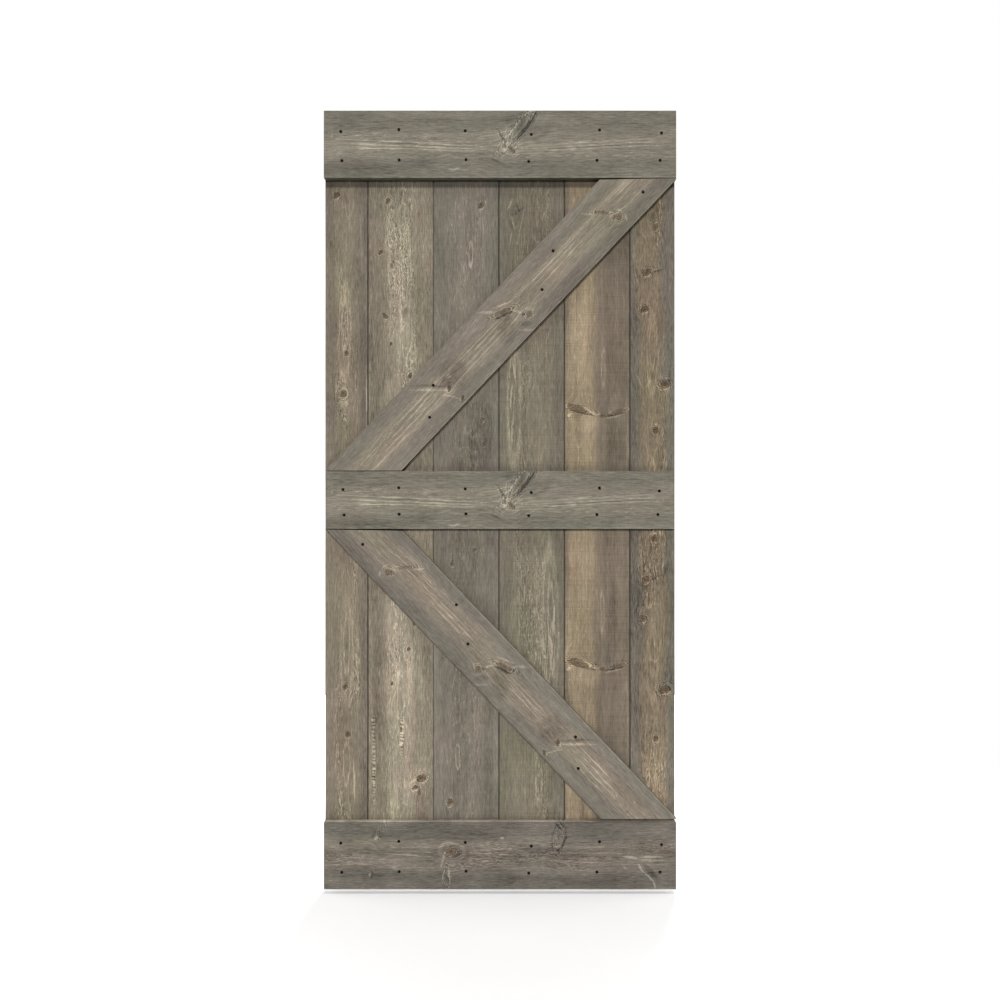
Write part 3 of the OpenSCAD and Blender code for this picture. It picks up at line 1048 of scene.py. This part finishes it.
# the bottom rail's narrow top side gets a strong painted highlight, and its underside painted shade
lay_out(
    "bottom_rail", seed=12, tone=(110, 103, 93), edge=(102, 97, 89), core=(5, 40), pith=(0, 80), sway=40,
    shine=0.14, blotch=0.95, band=0.6, grain=1.3, figure=0.3, sides=(0.5, 2.9),
    knots=[(-132, 12, 10, 1.3, -20, 2), (161, 52, 9, 3.2, 82, 3), (-146, -55, 7.5, 3.2, 88, 3),
           (-323, 74, 7, 2.6, 62, 3), (-351, -52, 5, 2, 75, 1)],
    marks=[(-339, 48, 8, 5, 30, 110), (-345, 60, 12, 4, 60, -30), (6, 49, 6, 4, 0, 80),
           (176, 36, 28, 5, 71, -40), (160, 80, 20, 5, -50, -30), (147, 12, 14, 5, 30, 36),
           (357, -4, 24, 6, -5, 60), (420, -3, 45, 3.5, 0, 44), (420, -12, 45, 3, 0, 30),
           (386, -33, 18, 3.8, -58, 60), (408, -58, 22, 3.8, -42, 60), (423, -78, 14, 3.6, -75, 60),
           (412, -42, 34, 10, -48, -36), (-105, 0, 30, 20, 30, -16), (-250, 2, 90, 2.6, -4, 30),
           (-240, 12, 100, 2.5, -2, 20), (200, 36, 100, 2.2, 1, -20), (220, 24, 120, 2.2, 0, 22),
           (240, 8, 120, 2.5, 0, 26), (230, -16, 120, 2.5, -2, 24), (-20, 18, 80, 2.5, 3, 24),
           (0, 4, 100, 2.5, -2, 22), (-156, -10, 30, 4, 76, 34), (-350, 20, 100, 20, 0, -10),
           (-139, -56, 28, 3, 98, 56), (-155, -52, 22, 3, 80, 50), (-350, -50, 150, 30, 0, -8),
           (200, -50, 100, 20, 0, 6)],
    loops=[(-132, 12, 34, 24, -5, 24), (161, 52, 40, 19, 80, -24)])

# %% Braces' lays
BRACE = dict(
    tone=(133, 124, 109), edge=(119, 112, 101), core=(2, 34), pith=(0, 90), sway=30, ring=3.2,
    shine=0.12, lines=0.3, grain=1.0, blotch=0.45, band=0.5, figure=0.1,
    knots=[(435, -33, 9, 1.1, 0, 2), (411, 10, 5, 4.4, -47, 2), (73, -36, 9, 1.1, 30, 2),
           (28, 20, 7.5, 3.4, -24, 2), (-225, -16, 6, 1.6, 40, 1), (-220, -62, 5, 1.6, 30, 1)],
    marks=[(420, 0, 30, 4, -42, 34), (430, -18, 16, 4, -20, 30), (447, -48, 14, 3, 60, 30),
           (380, 36, 20, 3, -47, 30), (452, -25, 14, 3.4, -80, 36), (426, -26, 8, 5, 0, -40),
           (22, 12, 32, 4.6, -22, -60), (38, 36, 34, 3.4, -26, 34), (0, 48, 40, 4.5, -46, 28),
           (56, -8, 22, 4, -62, 34), (36, -60, 26, 5, -46, 28), (46, -45, 26, 9, -50, -14),
           (84, -26, 14, 3, -50, 30), (62, -24, 7, 6, 0, -40), (140, -10, 70, 50, 0, -5),
           (0, -20, 30, 50, -46, -20), (-264, 18, 70, 4.2, -46.7, 30), (-256, 26, 60, 5, -46.7, -24),
           (-235, -40, 30, 3, -60, 32), (-190, 0, 50, 50, -30, -20), (-50, 4, 90, 2.2, 1, 28),
           (-80, -8, 100, 2.2, 0, 28), (-60, 14, 100, 2.2, -1, 26), (220, 8, 140, 2.2, 0, 28),
           (250, -4, 120, 2.2, 1, 28), (240, 18, 100, 2.2, -1, 26), (-360, 5, 100, 2.2, 1, 28),
           (-380, -8, 110, 2.2, 0, 28), (-340, 20, 80, 2.2, -1, 28), (-370, -22, 100, 2.2, 0, 26),
           (500, 0, 60, 2.2, 2, 28), (500, 12, 60, 2.2, -2, 26)])
# the upper brace's narrow lower side gets deep painted shade
lay_out("upper_brace", seed=13, sides=(0.22, 0.9), **BRACE)
# the lower brace's face is painted darker along its lower edge and lighter along its upper edge: painted
# shade and a painted highlight
lay_out("lower_brace", seed=14, rims=(0.78, 1.2), shift=18,
        **dict(BRACE, tone=(127, 118, 104), edge=(114, 108, 98)))
print("lays:", list(lays))

# %% Finish the boards
for node, board in boards.items():
    board.data.materials.clear()
    board.data.materials.append(stained_pine(node + "_stain", lays[node]))
print("shader nodes:", {node: len(board.active_material.node_tree.nodes)
                        for node, board in boards.items()})

# %% [markdown]
# ## Black screws
# The screws have a black phosphate finish: a matt, slightly grainy coat on steel. It is
# almost black, but a screw that is only black looks like a hole, so it gets a fine grain
# in its colour and roughness.


# %% Phosphate
def phosphate():
    """The screws' matt black coat."""
    recipe = Recipe("black_phosphate")
    place = recipe.place()
    grain = noise(place, (3000, 3000, 3000), 1)
    patch = noise(place, (300, 300, 300), 2)
    colour = recipe.ramp(0.45 + grain * 0.7 + patch * 0.7, (0.2, tone(7, 7, 7)),
                         (0.6, tone(15, 14, 13)), (0.9, tone(34, 32, 30)))
    return recipe.finish(Base_Color=colour, Roughness=0.55 + grain * 0.3,
                         Specular_IOR_Level=0.12)


screw_black = phosphate()
for node in SCREW_NODES.values():
    pieces[node].data.materials.clear()
    pieces[node].data.materials.append(screw_black)
print("screws in black:", len(SCREW_NODES))

# %% [markdown]
# ## Tie the pieces to the measured door
# Each new piece stands for one measured piece, which is then hidden, and rides on the
# door's only body.

# %% Ride and replace
for node, obj in pieces.items():
    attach(obj, "root")
    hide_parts(node)
    kind = "plank" if node in plank_nodes else node.split("_")[1]
    "screw_black" if node.endswith("_screws") else kind + "_wood"

# %% [markdown]
# ## Floor, light and camera
# The door hangs a little above a plain pale floor, a disc that fades into the white of the
# studio. A soft panel far in front, above the door and a little to the left, draws thin
# shadows below and right of the raised boards. A second panel high overhead lights the
# upper edges. Weak panels at the sides and behind fill the rest.

# %% Floor
FLOOR_DROP = 0.013
FLOOR_RADIUS = 2.2
bpy.ops.object.select_all(action="DESELECT")
bpy.ops.mesh.primitive_circle_add(vertices=96, radius=FLOOR_RADIUS, fill_type="NGON",
                                  location=(0, 0, -FLOOR_DROP))
floor = bpy.context.active_object
floor.name = "floor"
pale = Recipe("pale_floor")
reach = pale.place().vector("LENGTH", out=1) * (1 / FLOOR_RADIUS)
floor.data.materials.append(pale.finish(
    Base_Color=(0.9, 0.9, 0.9, 1), Roughness=0.9, Emission_Strength=1.0,
    Emission_Color=0.2 + step(reach, 0.1, 0.95) * 0.85))
floor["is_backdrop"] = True

# %% Lamps
scene = bpy.context.scene
middle = (cad_low + cad_high) / 2


def lamp(name, place, watts, size):
    """A square panel at place that faces the door and is itself not seen."""
    bpy.ops.object.light_add(type="AREA", location=place)
    made = bpy.context.active_object
    made.name = name
    made.rotation_euler = (middle - Vector(place)).to_track_quat("-Z", "Y").to_euler()
    made.visible_camera = False
    made.data.energy, made.data.shape, made.data.size = watts, "SQUARE", size


lamp("front_lamp", (-0.4, -7.0, 3.9), 322, 0.8)
lamp("top_lamp", (0, -2.2, 8.0), 185, 1.2)
lamp("back_lamp", (1.2, 4.0, 2.9), 210, 2.0)
lamp("left_lamp", (-4.0, 0.3, 1.8), 50, 2.0)
lamp("right_lamp", (4.0, 0.3, 1.8), 50, 2.0)

# %% Sky
world = bpy.data.worlds.new("studio")
scene.world = world
world.use_nodes = True
sky = world.node_tree
dim, bright = sky.nodes["Background"], sky.nodes.new("ShaderNodeBackground")
for light, strength in ((dim, 0.1), (bright, 1.0)):
    light.inputs["Strength"].default_value = strength
    light.inputs["Color"].default_value = (1, 1, 1, 1)
ray = sky.nodes.new("ShaderNodeLightPath")
choose = sky.nodes.new("ShaderNodeMixShader")
sky.links.new(ray.outputs["Is Camera Ray"], choose.inputs[0])
sky.links.new(dim.outputs[0], choose.inputs[1])
sky.links.new(bright.outputs[0], choose.inputs[2])
sky.links.new(choose.outputs[0], sky.nodes["World Output"].inputs["Surface"])
scene.view_settings.view_transform = "Standard"

# %% Camera
CAMERA_BACK = 1.95  # from the face of the rails
FRAME_HEIGHT = 2.739  # what the picture takes in at the face of the rails
bpy.ops.object.camera_add(location=(0, front - CAMERA_BACK, middle.z),
                          rotation=(math.radians(90), 0, 0))
camera = bpy.context.active_object
camera.name = "camera"
camera.data.lens = camera.data.sensor_width * CAMERA_BACK / FRAME_HEIGHT
scene.camera = camera
print("lens, millimetres:", round(camera.data.lens, 2))

# %% [markdown]
# ## The size at the end
# The last cell prints the box round all the new pieces, in metres, as the first printed the measured
# door's. The new pieces may not be larger than the measured door by more than a hair.

# %% Sizes
low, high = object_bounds()
print("visual box, metres:", [round(v, 4) for v in high - low])
